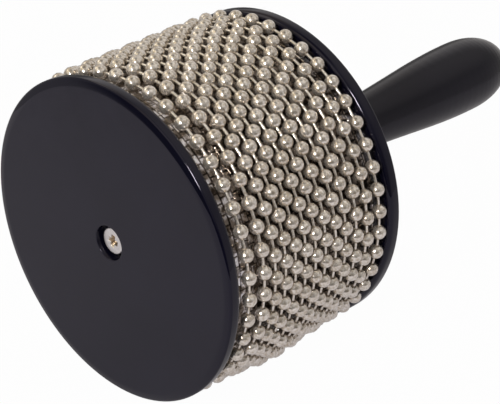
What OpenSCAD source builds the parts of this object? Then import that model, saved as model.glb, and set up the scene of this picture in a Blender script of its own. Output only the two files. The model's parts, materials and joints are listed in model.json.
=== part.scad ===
// Cabasa: loops of steel ball chain hang loose round a drum wrapped in textured sheet steel,
// between two round discs, with a turned handle on the drum's axis.
// X runs along the axis from the front disc to the handle and Z is up. The instrument lies on
// the rims of its discs, and the origin is on that surface, under the middle of its length.

/* [Discs] */
// Diameter of the two end discs
disc_d = 108; // [100:1:130]
// Thickness of a disc's plate
disc_t = 4.8; // [4.4:0.1:8]
// Rounding of both edges of a disc
disc_round = 1.4; // [0.5:0.1:2]
// Diameter of the hub behind a disc's plate
hub_d = 30; // [24:1:50]
// How far a hub stands in from its plate
hub_h = 8; // [7:0.5:14]
// Width of the lip that centres the core on a disc
lip_w = 4; // [2:0.5:8]
// How far a lip reaches into the core
lip_h = 5; // [2:0.5:10]

/* [Drum] */
// How far the discs' rims stand out over the sheet
rim_h = 5.35; // [5:0.05:8]
// Thickness of the sheet steel
sheet_t = 0.5; // [0.3:0.05:1]
// Height of the pattern pressed into the sheet
emboss_h = 0.4; // [0.2:0.05:0.7]
// Wall of the core tube
core_wall = 5; // [3.5:0.5:10]
// Width of the sheet's lapped seam
lap_w = 9; // [6:0.5:14]
// Angle of the seam, up from the near side and over the top
seam_a = 140; // [120:5:160]

/* [Chains] */
// Diameter of a bead
bead_d = 4.8; // [4:0.1:5.4]
// Diameter of a link between beads
link_d = 1.3; // [0.8:0.1:2]
// Length of link that shows between two beads
link_gap = 2.66; // [1.6:0.02:3.2]
// Mean space between the beads and the sheet
slack = 1.23; // [0.6:0.01:2.5]
// How far the loosest loop bulges at its lower sides
sag = 2.3; // [0:0.1:4]
// Least space between beads of nested loops, along the mean step
nest_gap = 1.09; // [0.8:0.01:1.6]
// Space between the front disc and the first loop
front_gap = 2.34; // [0.5:0.01:5]
// Space between the last loop and the rear disc
rear_gap = 0.86; // [0.5:0.01:5]
// Space between the first two loops
front_pair_gap = 1.61; // [0.3:0.01:3]
// Space between the last two loops
rear_pair_gap = 1.05; // [0.3:0.01:3]

/* [Handle] */
// Length of the handle from the rear disc to its tip
handle_len = 114.9; // [90:0.5:150]
// Diameter of the handle's neck
neck_d = 18.4; // [17.4:0.2:24]
// Diameter of the handle's thick end
bulb_d = 25.7; // [24:0.1:34]
// Diameter that the handle flares to at the rear disc
root_d = 21; // [19:0.5:30]
// Diameter of the spigot that centres the handle
spigot_d = 16; // [13:0.5:17]
// Length of that spigot
spigot_len = 6; // [3:0.5:9]

/* [Bolt] */
// Diameter of the bolt that holds the drum and handle together
bolt_d = 5; // [4:0.5:6]
// Length of the bolt under its head
bolt_len = 80; // [78:0.5:86]
// Diameter of its head
head_d = 8.6; // [8:0.1:9.4]
// Height of its head
head_h = 2.7; // [2.2:0.1:3.2]
// Depth of the head's face under the front disc's face
head_depth = 1.6; // [1:0.1:3]
// Diameter of the recess for the head
recess_d = 11.6; // [11.2:0.1:15]
// Outer diameter of the washer
washer_d = 10.8; // [10:0.1:11]
// Thickness of the washer
washer_t = 1; // [0.5:0.1:1.6]
// Outer diameter of the threaded insert in the handle
insert_d = 9; // [8:0.1:11]
// Length of the insert
insert_len = 14; // [10:0.5:18]
// How far the insert is set in from the spigot's end
insert_set = 1; // [0.5:0.1:3]

/* [Tacks] */
// Diameter of a tack's head
tack_d = 3; // [2:0.1:4]
// Height of a tack's head
tack_h = 0.6; // [0.3:0.05:0.7]
// Diameter of a tack's shank
tack_shank_d = 1.2; // [0.8:0.1:1.6]
// Length of a tack under its head
tack_len = 5; // [3:0.1:5.4]

/* [Hidden] */
$fn = 96;

// Clearances: round pieces that fit in each other, a loop over the sheet, a bolt in its hole
fit = 0.05;
seat_gap = 0.3;
bolt_play = 0.2;
overrun = 1;

// Tack places along the seam, as shares of the sheet's width
tack_shares = [0.08, 0.36, 0.64, 0.92];
// How far each nested loop lies from the one before it, as shares of the mean step
step_shares = [1.04, 0.97, 0.95, 0.98, 0.96, 0.97, 1.01, 0.98, 1.07, 1.07];
// How far each loop is turned, as shares of the angle between beads
turn_shares = [0.04, -0.06, 0.46, -0.04, 0.46, 0, 0.51, 0, 0.55, 0.02, 0.44, -0.01, 0];
// How far each loop bulges, as shares of sag
sag_shares = [0.2, 0.3, 0.4, 0.6, 0.9, 1, 0.95, 0.6, 0.5, 0.45, 0.3, 0.2, 0.15];
// Angle of the beads that are nearest to the middle of the near side
bead_a = 29.5;

// Loops, across the drum: a bead of one nested loop lies between two beads of the next
loop_count = len(turn_shares);
bead_pitch = bead_d + link_gap;
nest_step = sqrt(pow(bead_d + nest_gap, 2) - pow(bead_pitch / 2, 2));
loop_steps = concat(
    [bead_d + front_pair_gap],
    [for (share = step_shares) share * nest_step],
    [bead_d + rear_pair_gap]
);
function sum_of(v, n) = n == 0 ? 0 : v[n - 1] + sum_of(v, n - 1);
function loop_x(i) = disc_t + front_gap + bead_d / 2 + sum_of(loop_steps, i - 1);
rear_face = loop_x(loop_count) + bead_d / 2 + rear_gap;
drum_w = rear_face + disc_t;

// Loops, round the drum: each is slack enough to rest on the surface under the discs, unless
// the sheet comes in its way, above or below
sheet_r = disc_d / 2 - rim_h;
chain_r = sheet_r + slack + bead_d / 2;
bead_count = round(180 / asin(bead_pitch / 2 / chain_r));
bead_step = 360 / bead_count;
lift = min(slack - seat_gap, max(seat_gap - slack, slack + bead_d - rim_h));

// Drum, from the sheet inwards
sheet_face_r = sheet_r - emboss_h;
core_r = sheet_face_r - sheet_t - fit;
bore_r = core_r - core_wall;
core_len = rear_face - disc_t;
hole_d = bolt_d + 2 * bolt_play;
seat_depth = head_depth + head_h + washer_t;

// Handle: where its neck is thinnest, where it is thickest, where its root flare ends
neck_share = 0.26;
bulb_share = 0.8;
flare_share = 0.06;
// Fullness of its rounded end, where 2 is an ellipse, and points along its outline
tip_power = 2.4;
flare_steps = 6;
neck_steps = 18;
tip_steps = 16;
neck_x = neck_share * handle_len;
bulb_x = bulb_share * handle_len;
flare_x = flare_share * handle_len;
insert_x = drum_w - spigot_len + insert_set;
bolt_end = head_depth + head_h + bolt_len;

// Cross recess in the bolt's head: span and width at its mouth, and depth
cross_span = 0.5 * head_d;
cross_w = 0.13 * head_d;
cross_depth = 0.6 * head_h;
head_round = 0.3 * head_h;

// Puts what is built along Z from the front disc's face onto the drum's axis
module on_axis() {
    translate([-(drum_w + handle_len) / 2, 0, disc_d / 2]) rotate([0, 90, 0]) children();
}

// Turns what points along X to an angle round the drum, up from the near side
module at_angle(a) {
    rotate([0, 0, -90 - a]) children();
}

module ring(outer, inner, h) {
    difference() {
        cylinder(r = outer, h = h);
        translate([0, 0, -overrun]) cylinder(r = inner, h = h + 2 * overrun);
    }
}

// Plate with rounded edges, from its outer face at z = 0 inwards
module plate() {
    r = disc_d / 2;
    rotate_extrude() {
        square([r - disc_round, disc_t]);
        translate([0, disc_round]) square([r, disc_t - 2 * disc_round]);
        for (y = [disc_round, disc_t - disc_round])
            translate([r - disc_round, y]) circle(r = disc_round);
    }
}

// A disc: plate, hub and centring lip, with the bolt's hole
module disc_blank() {
    difference() {
        union() {
            plate();
            translate([0, 0, disc_t]) cylinder(d = hub_d, h = hub_h);
            translate([0, 0, disc_t]) ring(bore_r - fit, bore_r - fit - lip_w, lip_h);
        }
        translate([0, 0, -overrun]) cylinder(d = hole_d, h = disc_t + hub_h + 2 * overrun);
    }
}

module front_disc() {
    color("#323236")
    on_axis()
    difference() {
        disc_blank();
        translate([0, 0, -overrun]) cylinder(d = recess_d, h = seat_depth + overrun);
    }
}

module rear_disc() {
    color("#2a2a2e")
    on_axis()
    translate([0, 0, drum_w]) mirror([0, 0, 1])
    difference() {
        disc_blank();
        translate([0, 0, -overrun]) cylinder(d = spigot_d + 2 * fit, h = spigot_len + fit + overrun);
    }
}

// What the tacks' shanks take out of the core and the sheet
module tack_holes() {
    for (share = tack_shares)
        translate([0, 0, disc_t + share * core_len])
        at_angle(seam_a)
        rotate([0, 90, 0])
        translate([0, 0, core_r + sheet_t - tack_len - fit])
        cylinder(d = tack_shank_d + 2 * fit, h = tack_len + 2 * sheet_t + overrun);
}

module core_tube() {
    color("#b08d62")
    on_axis()
    difference() {
        translate([0, 0, disc_t]) ring(core_r, bore_r, core_len);
        tack_holes();
    }
}

// One end of the sheet laps over the other along the seam
module textured_sheet() {
    lap_a = lap_w / sheet_face_r * 180 / PI;
    color("#b4b1b6")
    on_axis()
    difference() {
        translate([0, 0, disc_t])
        union() {
            ring(sheet_face_r, sheet_face_r - sheet_t, core_len);
            at_angle(seam_a + lap_a / 2)
            rotate_extrude(angle = lap_a)
            translate([sheet_face_r - sheet_t / 2, 0]) square([sheet_t * 3 / 2, core_len]);
        }
        tack_holes();
    }
}

module seam_tacks() {
    color("#8f8c88")
    on_axis()
    for (share = tack_shares)
        translate([0, 0, disc_t + share * core_len])
        at_angle(seam_a)
        rotate([0, 90, 0]) {
            translate([0, 0, sheet_face_r + sheet_t + fit]) cylinder(d1 = tack_d, d2 = tack_d / 2, h = tack_h);
            translate([0, 0, core_r + sheet_t - tack_len])
            cylinder(d = tack_shank_d, h = tack_len + 3 * fit + sheet_t);
        }
}

// Pan head with a cross recess, and a plain shank
module through_bolt() {
    color("#c9c9cb")
    on_axis()
    translate([0, 0, head_depth]) {
        difference() {
            rotate_extrude() {
                translate([0, head_round]) square([head_d / 2, head_h - head_round]);
                square([head_d / 2 - head_round, head_h]);
                translate([head_d / 2 - head_round, head_round]) circle(r = head_round);
            }
            intersection() {
                translate([0, 0, -overrun]) {
                    translate([-cross_span / 2, -cross_w / 2, 0]) cube([cross_span, cross_w, cross_depth + overrun]);
                    translate([-cross_w / 2, -cross_span / 2, 0]) cube([cross_w, cross_span, cross_depth + overrun]);
                }
                translate([0, 0, -cross_depth])
                cylinder(d1 = cross_span * 3 / 2, d2 = cross_span / 2, h = 2 * cross_depth);
            }
        }
        translate([0, 0, head_h]) cylinder(d = bolt_d, h = bolt_len);
    }
}

module bolt_washer() {
    color("#a8a8aa")
    on_axis()
    translate([0, 0, head_depth + head_h]) ring(washer_d / 2, hole_d / 2, washer_t);
}

// Radius of the handle at a distance s from the rear disc
function swell(s) = (1 - cos(180 * max(0, s - neck_x) / (bulb_x - neck_x))) / 2;
function flare(s) = pow(max(0, 1 - s / flare_x), 2);
function neck_r(s) = neck_d / 2 + (bulb_d - neck_d) / 2 * swell(s) + (root_d - neck_d) / 2 * flare(s);
function tip_r(u) = bulb_d / 2 * sqrt(1 - pow(u, tip_power));
neck_points = [
    for (j = [0:flare_steps]) let (s = flare_x * j / flare_steps) [neck_r(s), s],
    for (j = [0:neck_steps]) let (s = neck_x + (bulb_x - neck_x) * j / neck_steps) [neck_r(s), s]
];
tip_points = [
    for (j = [1:tip_steps - 1])
        let (u = sin(90 * j / tip_steps)) [tip_r(u), bulb_x + (handle_len - bulb_x) * u],
    [0, handle_len]
];

module handle() {
    color("#29282b")
    on_axis()
    difference() {
        translate([0, 0, drum_w])
        union() {
            rotate_extrude() polygon(concat([[0, 0]], neck_points, tip_points));
            translate([0, 0, -spigot_len]) cylinder(d = spigot_d, h = spigot_len + overrun);
        }
        translate([0, 0, drum_w - spigot_len - overrun])
        cylinder(d = hole_d, h = bolt_end + insert_len - drum_w + overrun);
        translate([0, 0, insert_x]) cylinder(d = insert_d + 2 * fit, h = insert_len + fit);
    }
}

module handle_insert() {
    color("#b5934f")
    on_axis()
    translate([0, 0, insert_x]) ring(insert_d / 2, bolt_d / 2 + fit, insert_len);
}

// Radius of loop i at an angle: it hangs clear of the sheet at its lower sides
function loop_r(i, a) = chain_r + (sin(a) < 0 ? sag * sag_shares[i - 1] * pow(sin(2 * a), 2) : 0);
function bead_angle(i, k) = bead_a + (turn_shares[i - 1] + k) * bead_step;
function bead_at(i, k) =
    let (a = bead_angle(i, k), r = loop_r(i, a))
    [-r * sin(a), -r * cos(a), 0];

module chain_loop(i) {
    color("#b7aa9d")
    on_axis()
    translate([-lift, 0, loop_x(i)])
    for (k = [0:bead_count - 1]) {
        here = bead_at(i, k);
        way = bead_at(i, k + 1) - here;
        translate(here) at_angle(bead_angle(i, k)) sphere(d = bead_d);
        translate(here) rotate([0, 90, atan2(way.y, way.x)])
        translate([0, 0, bead_d / 4]) cylinder(d = link_d, h = norm(way) - bead_d / 2);
    }
}

front_disc();
rear_disc();
core_tube();
textured_sheet();
seam_tacks();
through_bolt();
bolt_washer();
handle();
handle_insert();
chain_loop(1);  // chain_loop_01
chain_loop(2);  // chain_loop_02
chain_loop(3);  // chain_loop_03
chain_loop(4);  // chain_loop_04
chain_loop(5);  // chain_loop_05
chain_loop(6);  // chain_loop_06
chain_loop(7);  // chain_loop_07
chain_loop(8);  // chain_loop_08
chain_loop(9);  // chain_loop_09
chain_loop(10);  // chain_loop_10
chain_loop(11);  // chain_loop_11
chain_loop(12);  // chain_loop_12
chain_loop(13);  // chain_loop_13
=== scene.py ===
# Cabasa, built up as on the bench: core, sheet, tacks, discs, bolt, handle and last the chains.
# Its axis runs along X from the front disc to the handle, and the discs' rims stand at Z = 0.
# Sizes are millimetres, and places along the axis count from the front disc's outer face.
import json
import math
import random

import bmesh
import bpy
from mathutils import Matrix, Vector


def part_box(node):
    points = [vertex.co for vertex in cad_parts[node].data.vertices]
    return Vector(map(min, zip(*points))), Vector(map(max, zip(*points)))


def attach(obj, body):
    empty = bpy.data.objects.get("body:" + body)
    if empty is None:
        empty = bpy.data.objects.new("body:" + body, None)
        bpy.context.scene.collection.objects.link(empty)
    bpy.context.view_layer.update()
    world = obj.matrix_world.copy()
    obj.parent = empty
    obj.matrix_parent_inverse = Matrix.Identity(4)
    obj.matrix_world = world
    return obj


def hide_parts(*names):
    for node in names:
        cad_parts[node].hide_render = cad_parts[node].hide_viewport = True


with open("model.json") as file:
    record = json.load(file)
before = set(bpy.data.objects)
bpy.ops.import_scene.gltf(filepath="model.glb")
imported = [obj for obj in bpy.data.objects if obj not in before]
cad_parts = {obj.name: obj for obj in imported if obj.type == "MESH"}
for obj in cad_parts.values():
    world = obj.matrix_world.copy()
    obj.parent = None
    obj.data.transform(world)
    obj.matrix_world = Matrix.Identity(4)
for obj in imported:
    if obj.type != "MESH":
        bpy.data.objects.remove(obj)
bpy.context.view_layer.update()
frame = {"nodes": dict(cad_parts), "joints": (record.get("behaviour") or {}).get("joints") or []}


# Core: a turned plywood tube that carries the sheet and keeps the discs apart. It is out of
# sight, pressed over the lips of both discs.
mm = 0.001
ply_w = 9


def finish_named(name, metallic, roughness, color):
    """A new material with its shader, whose even values stand on the shader's own sockets."""
    made = bpy.data.materials.new(name)
    made.use_nodes = True
    shader = made.node_tree.nodes["Principled BSDF"]
    shader.inputs["Metallic"].default_value = metallic
    shader.inputs["Roughness"].default_value = roughness
    shader.inputs["Base Color"].default_value = (*color, 1)
    return made, shader


def plug(material, value, into, name):
    """Links another node's socket to an input, or writes a plain value there."""
    socket = into.inputs[name]
    if isinstance(value, bpy.types.NodeSocket):
        material.node_tree.links.new(value, socket)
    else:
        socket.default_value = value


def node(material, kind, **wanted):
    """Adds a node. Small letters name its settings, which come first, and capitals its inputs."""
    made = material.node_tree.nodes.new(kind)
    for name, value in wanted.items():
        if name.islower():
            setattr(made, name, value)
        else:
            plug(material, value, made, name.replace("_", " "))
    return made


def own_place(material):
    """The piece's own coordinates, which are the drum's, because every piece sits at the origin."""
    return node(material, "ShaderNodeTexCoord").outputs["Object"]


def speckle(material, size, detail=3.0, stretch=(1, 1, 1), rough=0.5):
    """Noise whose spots are about this many millimetres across."""
    where = node(material, "ShaderNodeMapping", Vector=own_place(material), Scale=stretch)
    return node(
        material, "ShaderNodeTexNoise",
        Vector=where.outputs["Vector"], Scale=1 / (size * mm), Detail=detail, Roughness=rough,
    ).outputs["Fac"]


def tint(material, value, first, second, start=0.3, end=0.7, halfway=None):
    """Goes from one colour to another, by way of a third if given, as a value runs from start to end."""
    ramp = node(material, "ShaderNodeValToRGB", Fac=value)
    stops = ramp.color_ramp.elements
    for stop, position, color in zip(stops, (start, end), (first, second)):
        stop.position = position
        stop.color = (*color, 1)
    if halfway:
        stops.new((start + end) / 2).color = (*halfway, 1)
    return ramp.outputs["Color"]


def relief(material, shader, value, depth):
    """Raises the surface by a value, this many millimetres at most."""
    bump = node(material, "ShaderNodeBump", Height=value, Distance=depth * mm)
    plug(material, bump.outputs["Normal"], shader, "Normal")


def dress(name, material):
    """Gives a carried-over piece its finish."""
    piece = frame["nodes"][name]
    piece.data.materials.clear()
    piece.data.materials.append(material)


def plywood():
    """Brown wood in wavy bands round the tube, with a fine grain along it."""
    material, shader = finish_named("plywood", 0, 0.6, (0.47, 0.33, 0.19))
    where = node(material, "ShaderNodeMapping", Vector=own_place(material), Scale=(1, 0.04, 0.04))
    bands = node(
        material, "ShaderNodeTexWave",
        Vector=where.outputs["Vector"], Scale=1 / (ply_w * mm), Distortion=2.5, Detail=3.0,
    ).outputs["Fac"]
    brown = tint(material, bands, (0.36, 0.23, 0.12), (0.56, 0.41, 0.25))
    plug(material, brown, shader, "Base Color")
    relief(material, shader, speckle(material, 0.8, stretch=(0.1, 1, 1)), 0.1)
    return material


dress("core_tube", plywood())


# Textured sheet: stainless steel, pressed all over into staggered pads by a roller, then wrapped
# round the core. Its ends are pressed flat and lap at the back, where tacks hold them.
front_low, front_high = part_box("front_disc")
axis_z = (front_low.z + front_high.z) / 2
sheet_low, sheet_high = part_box("textured_sheet")
sheet_x = (sheet_low.x + sheet_high.x) / 2
face_r = 48.25
steel_t = 0.5
lap_w, lap_ramp = 9, 4
seam_a = 140
strip_w = (sheet_high.x - sheet_low.x) / mm
strip_len = math.tau * face_r + lap_w
pads_round, pads_across = 94, 27
pad_side_w, pad_side_h = 0.22, 0.3
pad_shoulder_w, pad_shoulder_h = 0.12, 0.1
# How far from the front and the rear disc the sheet is bare, and where its painted shade under the chains
# is full.
front_bare, rear_bare = (8, 12), (1, 5)


def spread(material, value, low, high, start=0.3, end=0.7):
    """Spreads a value that runs from start to end over low to high."""
    return node(
        material, "ShaderNodeMapRange",
        Value=value, From_Min=start, From_Max=end, To_Min=low, To_Max=high,
    ).outputs["Result"]


def combined(material, operation, first, second):
    """Two values added or multiplied, or the greater of the two."""
    made = node(material, "ShaderNodeMath", operation=operation, Value=first)
    plug(material, second, made, 1)
    return made.outputs["Value"]


def pressed_steel():
    """Bright where it lies bare along the discs, with painted shade under the chains and in its grooves.
    """
    material, shader = finish_named("pressed_steel", 1, 0.12, (0.84, 0.83, 0.87))
    along = node(material, "ShaderNodeSeparateXYZ", Vector=own_place(material)).outputs["X"]
    at_front = spread(material, along, 1, 0, *(sheet_low.x + far * mm for far in front_bare))
    at_rear = spread(material, along, 1, 0, *(sheet_high.x - far * mm for far in rear_bare))
    bare = combined(material, "MAXIMUM", at_front, at_rear)
    # Painted shade: the grooves between the pads get half the brightness of the pad tops, and the steel
    # under the chains about a third of the bare strips'.
    raised = node(material, "ShaderNodeAttribute", attribute_name="pad_height").outputs["Fac"]
    on_pad = spread(material, raised, 0.5, 1, 0.2, 0.9)
    unshaded = combined(material, "MULTIPLY", spread(material, bare, 0.36, 1, 0, 1), on_pad)
    patches = spread(material, speckle(material, 4, 1.0), 0.35, 1, 0.42, 0.56)
    unshaded_and_patchy = combined(material, "MULTIPLY", unshaded, patches)
    # Near-black brown where the painted shade is deepest, through brown, to bright steel. Random patches
    # darken it further.
    steel = tint(material, unshaded_and_patchy, (0.03, 0.024, 0.02), (0.93, 0.91, 0.95), 0, 1, (0.3, 0.25, 0.21))
    plug(material, steel, shader, "Base Color")
    plug(material, spread(material, bare, 1, 0.8, 0, 1), shader, "Metallic")
    plug(material, spread(material, speckle(material, 0.9), 0.06, 0.2), shader, "Roughness")
    relief(material, shader, speckle(material, 1.5, 2.0), 0.32)
    return material


def pick(piece, kind, wanted):
    """Selects the faces or edges of the piece in edit mode that the test wants."""
    mesh = bmesh.from_edit_mesh(piece.data)
    for element in (*mesh.faces, *mesh.edges, *mesh.verts):
        element.select_set(False)
    for element in getattr(mesh, kind):
        if wanted(element):
            element.select_set(True)
    mesh.select_flush_mode()
    bmesh.update_edit_mesh(piece.data)


def start_edit(name, mode):
    """Names the new primitive and opens it for shaping, with nothing selected."""
    piece = bpy.context.active_object
    piece.name = piece.data.name = name
    bpy.ops.object.mode_set(mode="EDIT")
    bpy.ops.mesh.select_mode(type=mode)
    bpy.ops.mesh.select_all(action="DESELECT")
    return piece


def end_edit(piece, angle=30):
    """Closes edit mode, turns the faces outwards and smooths what is rounder than the angle."""
    bpy.ops.mesh.select_all(action="SELECT")
    bpy.ops.mesh.remove_doubles(threshold=0.0005 * mm)
    bpy.ops.mesh.normals_make_consistent(inside=False)
    bpy.ops.object.mode_set(mode="OBJECT")
    bpy.ops.object.shade_smooth_by_angle(angle=math.radians(angle))
    return piece


def fasten(piece, body, material, solid):
    """Gives a finished piece its material and lets it ride on its body, in place of its solid."""
    piece.data.materials.append(material)
    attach(piece, body)
    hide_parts(solid)


bpy.ops.object.select_all(action="DESELECT")
bpy.ops.mesh.primitive_grid_add(x_subdivisions=pads_across, y_subdivisions=2 * pads_round, size=1)
sheet = start_edit("pressed_sheet", "EDGE")


def splits_pad(edge):
    """True for the edge in the middle of a pad: pads of one row start half a pad further on."""
    a, b = (vert.co for vert in edge.verts)
    if abs(a.y - b.y) > 1e-6:
        return False
    row = round((min(a.x, b.x) + 0.5) * pads_across)
    step = round((a.y + 0.5) * 2 * pads_round)
    return 0 < step < 2 * pads_round and (step + row) % 2 == 1


pick(sheet, "edges", splits_pad)
bpy.ops.mesh.dissolve_edges(use_verts=False)
bpy.ops.mesh.select_mode(type="FACE")
bpy.ops.mesh.select_all(action="SELECT")
bpy.ops.transform.resize(value=(strip_w * mm, strip_len * mm, 1))
bpy.ops.mesh.inset(thickness=pad_side_w * mm, depth=pad_side_h * mm, use_individual=True)
bpy.ops.mesh.inset(thickness=pad_shoulder_w * mm, depth=pad_shoulder_h * mm, use_individual=True)
bpy.ops.object.mode_set(mode="OBJECT")


def round_the_core(flat):
    """Where a point of the flat strip comes to lie when the strip is wrapped round the core."""
    along = flat.y / mm + strip_len / 2
    to_end = min(along, strip_len - along)
    raised = flat.z / mm * min(1, max(0, (to_end - lap_w) / lap_ramp))
    lifted = steel_t * min(1, max(0, (along - strip_len + lap_w + lap_ramp) / lap_ramp))
    r = (face_r + raised + lifted) * mm
    a = math.radians(seam_a) + (along - lap_w / 2) / face_r
    return Vector((flat.x + sheet_x, -r * math.cos(a), axis_z + r * math.sin(a)))


pad_height = sheet.data.attributes.new("pad_height", "FLOAT", "POINT")
for vert, height in zip(sheet.data.vertices, pad_height.data):
    height.value = vert.co.z / ((pad_side_h + pad_shoulder_h) * mm)
    vert.co = round_the_core(vert.co)
bpy.ops.object.mode_set(mode="EDIT")
end_edit(sheet, 20)
wall = sheet.modifiers.new("wall", "SOLIDIFY")
wall.thickness = steel_t * mm
wall.offset = -1
bpy.ops.object.modifier_apply(modifier=wall.name)
fasten(sheet, "drum", pressed_steel(), "textured_sheet")


# Seam tacks: four short steel tacks with low domed heads. They are hammered through the lap of
# the sheet into the core, in one row across the drum.
tack_r, tack_rim_h = 1.5, 0.2
tack_dome = ((0.35, 0.24), (0.4, 0.12), (0.4, 0.04))
tack_shank_r = 0.6
tack_len, tack_tip_h, tack_tip_share = 5, 1.2, 0.1
tack_lift = 0.15
tack_shares = (0.08, 0.36, 0.64, 0.92)


def plain_steel():
    """Grey steel, as drawn, neither plated nor polished."""
    material, shader = finish_named("plain_steel", 1, 0.4, (0.45, 0.44, 0.42))
    plug(material, spread(material, speckle(material, 0.4), 0.3, 0.5), shader, "Roughness")
    relief(material, shader, speckle(material, 0.3), 0.02)
    return material


def joined(pieces, name):
    """Joins copies of one piece into one object."""
    bpy.ops.object.select_all(action="DESELECT")
    for piece in pieces:
        piece.select_set(True)
    bpy.context.view_layer.objects.active = pieces[0]
    bpy.ops.object.join()
    pieces[0].name = pieces[0].data.name = name
    return pieces[0]


def copy_at(shape, place):
    """A copy of a shape with its own mesh, put in place."""
    copy = shape.copy()
    copy.data = shape.data.copy()
    bpy.context.scene.collection.objects.link(copy)
    copy.data.transform(place)
    return copy


bpy.ops.mesh.primitive_cylinder_add(vertices=20, radius=tack_r * mm, depth=tack_rim_h * mm)
tack = start_edit("tack", "FACE")
pick(tack, "faces", lambda face: face.normal.z > 0.9)
for step_in, step_up in tack_dome:
    bpy.ops.mesh.inset(thickness=step_in * mm, depth=step_up * mm)
pick(tack, "faces", lambda face: face.normal.z < -0.9)
bpy.ops.mesh.inset(thickness=(tack_r - tack_shank_r) * mm)
for length in (tack_len - tack_tip_h, tack_tip_h):
    bpy.ops.mesh.extrude_region_move(TRANSFORM_OT_translate={"value": (0, 0, -length * mm)})
bpy.ops.transform.resize(value=(tack_tip_share, tack_tip_share, 1))
end_edit(tack, 40)
seam = math.radians(seam_a)
outwards = Vector((0, -math.cos(seam), math.sin(seam)))
upright = outwards.to_track_quat("Z", "X").to_matrix().to_4x4()
tacks = []
for share in tack_shares:
    at = Vector((sheet_low.x + share * strip_w * mm, 0, axis_z))
    at += (face_r + steel_t + tack_lift) * mm * outwards
    tacks.append(copy_at(tack, Matrix.Translation(at) @ upright))
bpy.data.objects.remove(tack)
fasten(joined(tacks, "domed_tacks"), "drum", plain_steel(), "seam_tacks")


# Discs: moulded in black plastic, each with a hub and a lip inside that centre it on the core.
# The front one's face has a fine grain and slopes away into a polished rim.
front_x = front_low.x
disc_r = (front_high.z - front_low.z) / 2 / mm
disc_t = 4.8
crown_w, crown_slope, crown_ease = 2.8, 11, 0.4
edge_round, edge_turn, edge_tight = 1.4, 48, 0.3
rear_round, back_round = 1, 1.9
# A narrow flat strip beside each rounding, so that the faces next to it are shaded flat.
margin, face_margin = 0.4, 0.5
hub_r, hub_h, hub_bevel = 15, 8, 0.5
lip_r, lip_w, lip_h, lip_bevel = 42.65, 4, 5, 0.6
bore_r = 2.7
mouth_round = 0.25
recess_r, recess_h = 5.8, 5.3
socket_r, socket_h = 8.05, 6.05


def arc_points(middle, across, along, first, last, steps):
    """Points of a round corner of an outline, as distance from the face and radius."""
    angles = (math.radians(first + (last - first) * i / steps) for i in range(steps + 1))
    return [(middle[0] - along * math.cos(a), middle[1] + across * math.sin(a)) for a in angles]


def crowned():
    """The front rim: the face slopes away gently, rounds over, then turns into a tight edge."""
    sines = [math.sin(math.radians(a)) for a in (crown_slope, edge_turn)]
    cosines = [math.cos(math.radians(a)) for a in (crown_slope, edge_turn)]
    slope = math.tan(math.radians(crown_slope))
    inner = disc_r - crown_w
    turn_r = disc_r - edge_tight * (1 - sines[1])
    start = turn_r - edge_round * (sines[1] - sines[0])
    drop = (start - inner - crown_ease) * slope
    tight_x = drop + edge_round * (cosines[0] - cosines[1]) + edge_tight * cosines[1]
    wide_x = drop + edge_round * cosines[0]
    wide_r = start - edge_round * sines[0]
    return [
        *arc_points((tight_x, disc_r - edge_tight), edge_tight, edge_tight, 90, edge_turn, 4),
        *arc_points((wide_x, wide_r), edge_round, edge_round, edge_turn, crown_slope, 6)[1:],
        (0.5 * crown_ease * slope, inner + 1.5 * crown_ease), (0, inner), (0, inner - face_margin),
    ]


def plain_edge():
    """The rear rim: a small even rounding."""
    inner = disc_r - rear_round
    rounding = arc_points((rear_round, inner), rear_round, rear_round, 90, 0, 6)
    return [*rounding, (0, inner - face_margin)]


def disc_outline(hole_r, hole_h, front_edge):
    """Half of a disc's section: its bore, hub, lip, back edge, front edge, face and middle hole."""
    hub_x, lip_x = disc_t + hub_h, disc_t + lip_h
    return [
        (hole_h, bore_r), (hub_x, bore_r), (hub_x, hub_r - hub_bevel), (hub_x - hub_bevel, hub_r),
        (disc_t, hub_r), (disc_t, lip_r - lip_w), (lip_x, lip_r - lip_w), (lip_x, lip_r - lip_bevel),
        (lip_x - lip_bevel, lip_r), (disc_t, lip_r), (disc_t, disc_r - back_round - margin),
        *arc_points((disc_t - back_round, disc_r - back_round), back_round, back_round, 180, 90, 5),
        *front_edge, (0, hole_r + mouth_round + margin),
        *arc_points((mouth_round, hole_r + mouth_round), -mouth_round, mouth_round, 0, 90, 3),
        (hole_h, hole_r),
    ]


def turned(name, outline, start, way, steps=128):
    """Turns a closed outline round the drum's axis, its distances counted one way from a start."""
    bpy.ops.object.select_all(action="DESELECT")
    bpy.ops.mesh.primitive_circle_add(vertices=len(outline), radius=1 * mm)
    ring = bpy.context.active_object
    for vert, (far, r) in zip(ring.data.vertices, outline):
        vert.co = (start + way * far * mm, 0, axis_z + r * mm)
    piece = start_edit(name, "EDGE")
    bpy.ops.mesh.select_all(action="SELECT")
    bpy.ops.mesh.spin(steps=steps, angle=math.tau, center=(0, 0, axis_z), axis=(1, 0, 0))
    return end_edit(piece)


def from_axis(material):
    """How far each place lies from the drum's axis."""
    across = node(
        material, "ShaderNodeMapping",
        Vector=own_place(material), Location=(0, 0, -axis_z), Scale=(0, 1, 1),
    ).outputs["Vector"]
    return node(material, "ShaderNodeVectorMath", operation="LENGTH", Vector=across).outputs["Value"]


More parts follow.
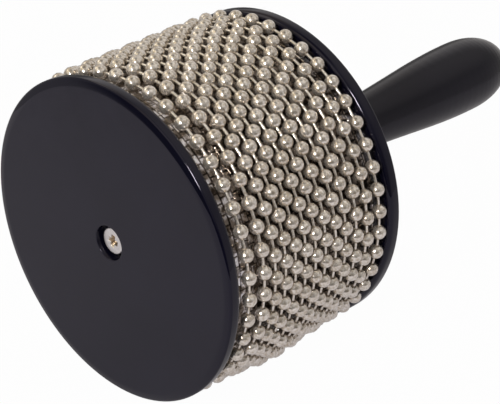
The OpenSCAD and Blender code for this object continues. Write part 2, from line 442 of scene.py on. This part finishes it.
def black_plastic(name, face_gloss, grain_h, polished_w):
    """Polished along its edge, this wide. The face is duller, unevenly rubbed and finely grained."""
    material, shader = finish_named(name, 0, 0.1, (0.003, 0.003, 0.009))
    shader.inputs["Specular IOR Level"].default_value = 0.38
    shader.inputs["Specular Tint"].default_value = (0.87, 0.84, 1, 1)
    out = from_axis(material)
    fade = [(disc_r - polished_w + far) * mm for far in (-0.3, 0.5)]
    rubbed = spread(material, speckle(material, 6, 4.0), face_gloss - 0.03, face_gloss + 0.05)
    plug(material, spread(material, out, rubbed, 0.045, *fade), shader, "Roughness")
    black = tint(material, speckle(material, 22, 4.0), (0.002, 0.002, 0.008), (0.004, 0.004, 0.012))
    plug(material, black, shader, "Base Color")
    on_face = spread(material, out, 1, 0.1, *fade)
    relief(material, shader, combined(material, "MULTIPLY", speckle(material, 0.3, 2.0), on_face), grain_h)
    return material


rear_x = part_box("rear_disc")[1].x
front_disc = turned("turned_front_disc", disc_outline(recess_r, recess_h, crowned()), front_x, 1)
charcoal = black_plastic("satin_charcoal", 0.22, 0.006, crown_w)
fasten(front_disc, "drum", charcoal, "front_disc")
rear_disc = turned("turned_rear_disc", disc_outline(socket_r, socket_h, plain_edge()), rear_x, -1)
polished = black_plastic("polished_black", 0.14, 0.003, 2 * rear_round)
fasten(rear_disc, "drum", polished, "rear_disc")


# Bolt: zinc-plated steel. Its pan head, with a cross recess, lies in the front disc's recess, and
# its thread runs into the handle, which clamps the drum together.
head_at, head_r, head_h = 1.6, 4.5, 2.7
head_round, head_margin, head_bevel = 0.4, 0.3, 0.1
shank_r, shank_len = 2.5, 80
thread_pitch, thread_h, thread_len = 0.8, 0.45, 22
thread_crest, thread_root = 0.1, 0.1
thread_ramp, thread_start, thread_plain = 0.4, 0.6, 2
point_h, point_w = 0.5, 1
cross_span, cross_w, cross_depth = 5.2, 2, 1.9
cross_turn, cross_taper, cross_above = 10, 0.2, 0.4
# Painted shade inside the cross recess: how deep below the head it starts, over what depth it fades in,
# and between which radii it fades out.
recess_shade_at, recess_shade_fade, recess_shade_r = 0.1, 0.4, (2.7, 2.9)


def zinc_plate(name):
    """Bright plate, faintly mottled."""
    material, shader = finish_named(name, 1, 0.3, (0.88, 0.86, 0.85))
    bright = tint(material, speckle(material, 1.1, 4.0), (0.82, 0.8, 0.79), (0.97, 0.95, 0.94))
    plug(material, bright, shader, "Base Color")
    plug(material, spread(material, speckle(material, 0.5), 0.26, 0.42), shader, "Roughness")
    relief(material, shader, speckle(material, 0.25), 0.012)
    return material


def recess_shaded(material):
    """Darkens and browns the plate inside the cross recess: painted shade."""
    color = material.node_tree.nodes["Principled BSDF"].inputs["Base Color"]
    along = node(material, "ShaderNodeSeparateXYZ", Vector=own_place(material)).outputs["X"]
    soot_x = [front_x + (head_at + recess_shade_at + far) * mm for far in (0, recess_shade_fade)]
    deep = spread(material, along, 0, 1, *soot_x)
    inside = spread(material, from_axis(material), 1, 0, *(r * mm for r in recess_shade_r))
    # The plate is mixed towards brown where the painted shade lies.
    recess_shade = combined(material, "MULTIPLY", deep, inside)
    mixed = node(
        material, "ShaderNodeMix", data_type="RGBA",
        Factor=recess_shade, A=color.links[0].from_socket, B=(0.5, 0.42, 0.33, 1),
    )
    material.node_tree.links.new(mixed.outputs["Result"], color)
    return material


def cross_arm(turn):
    """One arm of the cross recess, a tapered block that is cut out of the head."""
    deep = cross_depth + cross_above
    bpy.ops.object.select_all(action="DESELECT")
    bpy.ops.mesh.primitive_cone_add(
        vertices=4, depth=deep * mm,
        radius1=cross_span / math.sqrt(2) * mm, radius2=cross_taper * cross_span * mm)
    cutter = bpy.context.active_object
    squeeze = Matrix.Diagonal((1, cross_w / cross_span, 1, 1)) @ Matrix.Rotation(math.radians(45), 4, "Z")
    way = Matrix.Rotation(math.radians(turn), 4, "X") @ Matrix.Rotation(math.radians(90), 4, "Y")
    middle = Vector((front_x + (head_at + deep / 2 - cross_above) * mm, 0, axis_z))
    cutter.data.transform(Matrix.Translation(middle) @ way @ squeeze)
    return cutter


head_end = head_at + head_h
bolt_end = head_end + shank_len
thread_at = bolt_end - thread_len
thread_r = shank_r - thread_h
bolt = turned("pan_head_bolt", [
    (head_at, 0), (head_at, head_r - head_round - head_margin),
    *arc_points((head_at + head_round, head_r - head_round), head_round, head_round, 0, 90, 5),
    (head_end - head_bevel, head_r), (head_end, head_r - head_bevel), (head_end, shank_r),
    (thread_at, shank_r), (thread_at + thread_ramp, thread_r),
    (bolt_end - point_h, thread_r), (bolt_end, shank_r - point_w), (bolt_end, 0),
], front_x, 1, 64)

# The side of the outline that lies on the axis leaves loose edges behind.
bpy.ops.object.mode_set(mode="EDIT")
bpy.ops.mesh.select_all(action="SELECT")
bpy.ops.mesh.delete_loose()
bpy.ops.object.mode_set(mode="OBJECT")

for turn in (cross_turn, cross_turn + 90):
    arm = cross_arm(turn)
    recess = bolt.modifiers.new("recess", "BOOLEAN")
    recess.operation = "DIFFERENCE"
    recess.object = arm
    recess.solver = "EXACT"
    bpy.context.view_layer.objects.active = bolt
    bpy.ops.object.modifier_apply(modifier=recess.name)
    bpy.data.objects.remove(arm)

bpy.ops.mesh.primitive_circle_add(vertices=4, radius=1 * mm)
thread = bpy.context.active_object
thread_foot = -thread_h - thread_root
crest = [(thread_pitch + side * thread_crest) / 2 for side in (-1, 1)]
profile = ((0, thread_foot), (crest[0], 0), (crest[1], 0), (thread_pitch, thread_foot))
for vert, (far, rise) in zip(thread.data.vertices, profile):
    vert.co = (far * mm, 0, (shank_r + rise) * mm)
winding = thread.modifiers.new("winding", "SCREW")
winding.axis = "X"
winding.steps = winding.render_steps = 24
winding.iterations = int((thread_len - thread_plain) / thread_pitch)
winding.screw_offset = thread_pitch * mm
bpy.ops.object.modifier_apply(modifier=winding.name)
thread.data.transform(Matrix.Translation((front_x + (thread_at + thread_start) * mm, 0, axis_z)))
bolt = joined([bolt, thread], "pan_head_bolt")
bpy.ops.object.mode_set(mode="EDIT")
end_edit(bolt, 35)
fasten(bolt, "drum", recess_shaded(zinc_plate("zinc_plate")), "through_bolt")


# Washer and insert: a plain zinc-plated washer spreads the pull of the bolt's head. A turned
# brass insert, set in the handle, takes the bolt's thread.
def turned_brass():
    """Yellow brass with fine rings from the lathe."""
    material, shader = finish_named("turned_brass", 1, 0.3, (0.71, 0.53, 0.25))
    rings = speckle(material, 0.3, 2.0, stretch=(1, 0.02, 0.02))
    plug(material, spread(material, rings, 0.25, 0.42), shader, "Roughness")
    relief(material, shader, rings, 0.01)
    return material


dress("bolt_washer", zinc_plate("washer_zinc"))
dress("handle_insert", turned_brass())


# Handle: turned on a lathe and lacquered black, thin at the neck and full at its rounded end,
# with a spigot that seats in the rear disc.
def satin_black():
    """Black lacquer, unevenly glossy, with a faint grain along the handle."""
    material, shader = finish_named("satin_black", 0, 0.2, (0.004, 0.004, 0.007))
    shader.inputs["Specular IOR Level"].default_value = 0.38
    shader.inputs["Specular Tint"].default_value = (0.88, 0.85, 1, 1)
    streaks = speckle(material, 14, 4.0, (0.3, 1, 1))
    black = tint(material, streaks, (0.003, 0.003, 0.006), (0.006, 0.006, 0.01))
    plug(material, black, shader, "Base Color")
    plug(material, spread(material, speckle(material, 3, 4.0), 0.16, 0.26), shader, "Roughness")
    relief(material, shader, speckle(material, 0.4, 2.0, (0.4, 1, 1)), 0.01)
    return material


dress("handle", satin_black())


# Chains: thirteen endless loops of nickel-plated ball chain lie round the drum. The beads are
# hollow, with a pressed lip round the hole where a link's pin goes in. Each loop turns freely.
bead_r = 2.43
bead_lip_w, bead_lip_h = 0.1, 0.3
near_pole = 0.93
link_r, link_in = 0.5, 0.35
# The links get the palest tone of the plating, a painted highlight that keeps them bright.
link_highlight_tone = 1
ring_r = 52.28
bead_count = 44
first_bead_a = 29.5
slack = 2.3
# How far round each loop starts, as a share of the way from bead to bead, and its share of slack.
turn_shares = (0.04, -0.06, 0.46, -0.04, 0.46, 0, 0.51, 0, 0.55, 0.02, 0.44, -0.01, 0)
slack_shares = (0.2, 0.3, 0.4, 0.6, 0.9, 1, 0.95, 0.6, 0.5, 0.45, 0.3, 0.2, 0.15)
draw = random.Random(11)


def nickel_plate():
    """Warm bright plating, slightly dented and mottled, with a tone of its own on each bead."""
    material, shader = finish_named("nickel_plate", 0.78, 0.12, (0.84, 0.77, 0.69))
    tone = node(material, "ShaderNodeAttribute", attribute_name="bead_tone").outputs["Fac"]
    mottle = spread(material, speckle(material, 0.8, 3.0, rough=0.65), -0.7, 0.7)
    mixed = combined(material, "ADD", spread(material, tone, 0.35, 0.65, 0, 1), mottle)
    nickel_color = tint(material, mixed, (0.64, 0.56, 0.46), (1, 0.95, 0.89), 0, 1)
    plug(material, nickel_color, shader, "Base Color")
    plug(material, spread(material, speckle(material, 1.1, 3.0), 0.04, 0.26), shader, "Roughness")
    relief(material, shader, speckle(material, 1.3, 3.0), 0.1)
    return material


bpy.ops.mesh.primitive_uv_sphere_add(segments=14, ring_count=9, radius=bead_r * mm)
bead = start_edit("bead", "FACE")
for side in (1, -1):
    pick(bead, "faces", lambda face: face.normal.z * side > near_pole)
    bpy.ops.mesh.dissolve_faces()
    bpy.ops.mesh.inset(thickness=bead_lip_w * mm, depth=-bead_lip_h * mm)
end_edit(bead, 50)
bpy.ops.mesh.primitive_cylinder_add(vertices=8, radius=link_r * mm, depth=1 * mm)
link = start_edit("link", "FACE")
end_edit(link, 50)


def bead_place(loop, k):
    """Place of a bead of a loop: its chain bulges at the drum's lower sides, where it is slack."""
    a = math.radians(first_bead_a + (turn_shares[loop] + k) * 360 / bead_count)
    bulge = slack * slack_shares[loop] * math.sin(2 * a) ** 2 if math.sin(a) < 0 else 0
    return (ring_r + bulge) * mm * Vector((0, -math.cos(a), math.sin(a)))


def toned(piece, tone):
    """Notes the tone of its plating on a bead or a link."""
    layer = piece.data.attributes.new("bead_tone", "FLOAT", "POINT")
    layer.data.foreach_set("value", [tone] * len(piece.data.vertices))
    return piece


nickel = nickel_plate()
for loop, joint in enumerate(frame["joints"]):
    centre = Vector(joint["pos_m"])
    pieces = []
    for k in range(bead_count):
        before, here, there = (bead_place(loop, near) for near in (k - 1, k, k + 1))
        along = (there - before).to_track_quat("Z", "X").to_matrix().to_4x4()
        roll = Matrix.Rotation(draw.uniform(0, math.tau), 4, "Z")
        at_bead = Matrix.Translation(centre + here) @ along @ roll
        pieces.append(toned(copy_at(bead, at_bead), draw.random()))
        way = there - here
        turn = way.to_track_quat("Z", "X").to_matrix().to_4x4()
        reach = Matrix.Diagonal((1, 1, way.length / mm - 2 * (bead_r - link_in), 1))
        at_link = Matrix.Translation(centre + (here + there) / 2) @ turn @ reach
        pieces.append(toned(copy_at(link, at_link), link_highlight_tone))
    chain = joined(pieces, f"{joint['child']}_chain")
    fasten(chain, joint["child"], nickel, f"chain_{joint['child']}")
bpy.data.objects.remove(bead)
bpy.data.objects.remove(link)


# Studio: a round white table top in a grey room, with a soft window of light in front of the
# disc and a warmer lamp behind the drum. The room is paler and darker in places, and the drum
# and the beads mirror that. What the camera sees of it directly is white.
lamp_far = 1500
lamp_aim = Vector((-57 * mm, 0, axis_z))
table_r = 320
seen_white, mirrored_white = 0.98, 0.25
room_color = (0.36, 0.345, 0.33, 1)
# Each part's bearing and height, how far from its middle it starts to fade and is gone, its colour.
room_parts = (
    (45, 2, 25, 55, (0.7, 0.67, 0.65)),
    (-40, 64, 14, 44, (0.62, 0.59, 0.55)),
    (70, 42, 8, 26, (0.46, 0.4, 0.32)),
    (140, 84, 6, 24, (0.13, 0.125, 0.115)),
    (-112, 0, 12, 38, (0.14, 0.13, 0.12)),
    (-45, -6, 14, 34, (0.42, 0.4, 0.39)),
    (155, 40, 10, 30, (0.6, 0.54, 0.42)),
    (160, 53, 5, 17, (1.1, 0.96, 0.68)),
    (-177, 42, 8, 20, (0.95, 0.9, 0.82)),
    (155, -6, 14, 28, (0.06, 0.06, 0.055)),
    (53, -6, 8, 21, (0.16, 0.155, 0.15)),
    (-177, -9, 10, 20, (0.03, 0.03, 0.03)),
    (-150, -9, 9, 20, (0.02, 0.02, 0.02)),
)


def bearing_of(azimuth, rise):
    """The way towards a compass bearing and a height, both in degrees."""
    a, e = math.radians(azimuth), math.radians(rise)
    return Vector((math.cos(a) * math.cos(e), math.sin(a) * math.cos(e), math.sin(e)))


def lamp(name, azimuth, rise, wide, tall, radiance, color):
    """A soft lamp, its width and height in degrees as the drum sees it."""
    light = bpy.data.lights.new(name, "AREA")
    light.shape = "RECTANGLE"
    sides = [2 * lamp_far * mm * math.tan(math.radians(angle / 2)) for angle in (wide, tall)]
    light.size, light.size_y = sides
    light.energy = radiance * math.pi * light.size * light.size_y
    light.color = color
    lamp_object = bpy.data.objects.new(name, light)
    bpy.context.scene.collection.objects.link(lamp_object)
    way = bearing_of(azimuth, rise)
    lamp_object.location = lamp_aim + lamp_far * mm * way
    lamp_object.rotation_euler = way.to_track_quat("Z", "Y").to_euler()


lamp("window", -159, 28, 8, 12, 50, (1, 0.97, 0.94))
lamp("warm_lamp", 110, 41, 28, 22, 1.15, (1, 0.9, 0.7))

bpy.ops.object.select_all(action="DESELECT")
bpy.ops.mesh.primitive_circle_add(vertices=96, radius=table_r * mm, fill_type="NGON")
floor = bpy.context.active_object
floor.name = "floor"
paper, diffuse = finish_named("white_paper", 0, 1, (0.63, 0.61, 0.67))
diffuse.inputs["Specular IOR Level"].default_value = 0
glow = node(paper, "ShaderNodeEmission", Strength=1.0)
path = node(paper, "ShaderNodeLightPath")
mirrored = spread(paper, path.outputs["Is Glossy Ray"], 0, mirrored_white, 0, 1)
share = spread(paper, path.outputs["Is Camera Ray"], mirrored, seen_white, 0, 1)
mix = node(paper, "ShaderNodeMixShader", Fac=share)
plug(paper, diffuse.outputs["BSDF"], mix, 1)
plug(paper, glow.outputs["Emission"], mix, 2)
plug(paper, mix.outputs["Shader"], paper.node_tree.nodes["Material Output"], "Surface")
floor.data.materials.append(paper)

world = bpy.data.worlds.new("room")
bpy.context.scene.world = world
world.use_nodes = True
looking = node(world, "ShaderNodeTexCoord").outputs["Generated"]
for azimuth, rise, inner, outer, color in room_parts:
    near = node(world, "ShaderNodeVectorMath", operation="DOT_PRODUCT", Vector=looking)
    near.inputs[1].default_value = bearing_of(azimuth, rise)
    fade = node(
        world, "ShaderNodeMapRange", interpolation_type="SMOOTHSTEP", Value=near.outputs["Value"],
        From_Min=math.cos(math.radians(outer)), From_Max=math.cos(math.radians(inner)),
    ).outputs["Result"]
    blend = node(world, "ShaderNodeMix", data_type="RGBA", Factor=fade, A=room_color, B=(*color, 1))
    room_color = blend.outputs["Result"]
room = world.node_tree.nodes["Background"]
plug(world, room_color, room, "Color")
plain = node(world, "ShaderNodeBackground", Color=(1, 1, 1, 1))
seen = node(world, "ShaderNodeLightPath").outputs["Is Camera Ray"]
either = node(world, "ShaderNodeMixShader", Fac=seen)
plug(world, room.outputs["Background"], either, 1)
plug(world, plain.outputs["Background"], either, 2)
plug(world, either.outputs["Shader"], world.node_tree.nodes["World Output"], "Surface")


# Camera: it stands where the photograph was taken from, and looks down at the front disc and the
# near side of the drum through a long lens.
aim = Vector((-59.73, -26.61, 65.15)) * mm
stand_off = 632.95 * mm
bearing, height = math.radians(-44.99), math.radians(29.22)
level = math.cos(height)
back = Vector((math.sin(bearing) * level, -math.cos(bearing) * level, math.sin(height)))
camera = bpy.data.objects.new("camera", bpy.data.cameras.new("camera"))
bpy.context.scene.collection.objects.link(camera)
camera.location = aim + stand_off * back
camera.rotation_euler = back.to_track_quat("Z", "Y").to_euler()
camera.data.lens = 146.6
camera.data.sensor_width = 36
camera.data.clip_end = 20
bpy.context.scene.camera = camera
bpy.context.scene.view_settings.view_transform = "Standard"
